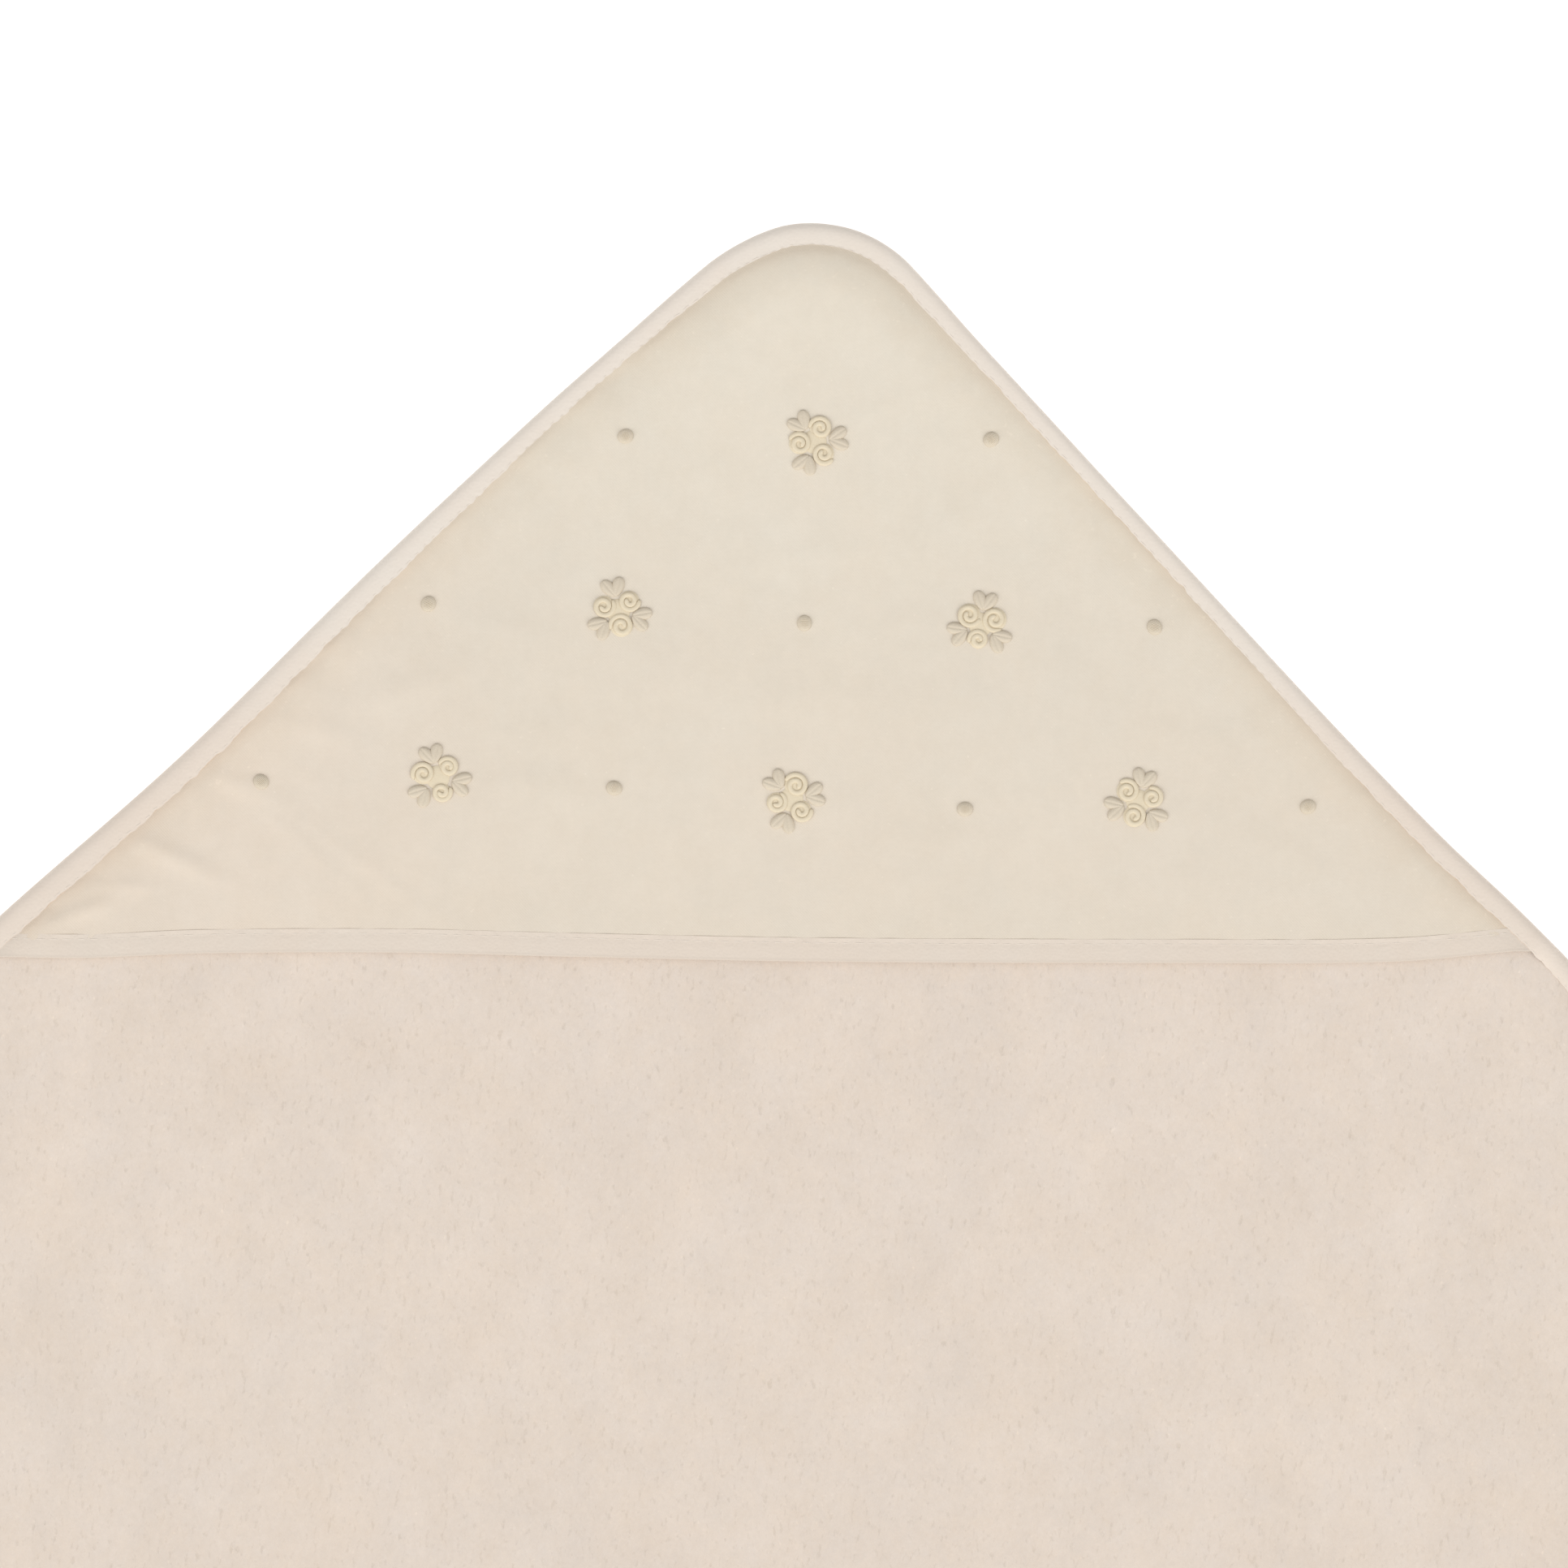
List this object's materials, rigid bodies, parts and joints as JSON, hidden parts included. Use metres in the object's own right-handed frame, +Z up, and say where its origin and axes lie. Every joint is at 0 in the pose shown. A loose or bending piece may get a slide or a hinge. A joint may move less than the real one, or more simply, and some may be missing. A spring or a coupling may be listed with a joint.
{
  "type": "hooded baby towel",
  "caption": "Square terry towel with rounded corners, bound all round with folded tape, and a triangular cotton hood over a corner embroidered with small flowers and dots.",
  "frame": {"origin": "middle of the towel's underside, where it rests", "axes": "+Z up through the cloth, +Y towards the hooded corner, +X to the right seen from above with the hooded corner at the top"},
  "size_m": [1.0308, 1.0308, 0.0125],
  "materials": {
    "terry": "matte",
    "lining_terry": "matte",
    "edge_tape": "matte",
    "hood_tape": "matte",
    "hood_cotton": "matte",
    "seam_thread": "satin",
    "rose_thread": "satin",
    "leaf_thread": "satin"
  },
  "bodies": {
    "towel": {"terry_body": "terry", "edge_binding": "edge_tape", "edge_topstitch_upper": "seam_thread", "edge_topstitch_lower": "seam_thread"},
    "hood": {"hood_lining": "lining_terry", "hood_panel": "hood_cotton", "hood_front_binding": "hood_tape", "front_topstitch_upper": "seam_thread", "front_topstitch_lower": "seam_thread", "motif_1_leaves": "leaf_thread", "motif_1_roses": "rose_thread", "motif_2_leaves": "leaf_thread", "motif_2_roses": "rose_thread", "motif_3_leaves": "leaf_thread", "motif_3_roses": "rose_thread", "motif_4_leaves": "leaf_thread", "motif_4_roses": "rose_thread", "motif_5_leaves": "leaf_thread", "motif_5_roses": "rose_thread", "motif_6_leaves": "leaf_thread", "motif_6_roses": "rose_thread", "dot_1": "leaf_thread", "dot_2": "leaf_thread", "dot_3": "leaf_thread", "dot_4": "leaf_thread", "dot_5": "leaf_thread", "dot_6": "leaf_thread", "dot_7": "leaf_thread", "dot_8": "leaf_thread", "dot_9": "leaf_thread"}
  },
  "joints": [
    {"name": "hood_open", "type": "hinge", "parent": "towel", "child": "hood", "pos_m": [0, 0.50892, 0.0063], "axis": [-1, 0, 0], "range_deg": [0, 20]}
  ]
}
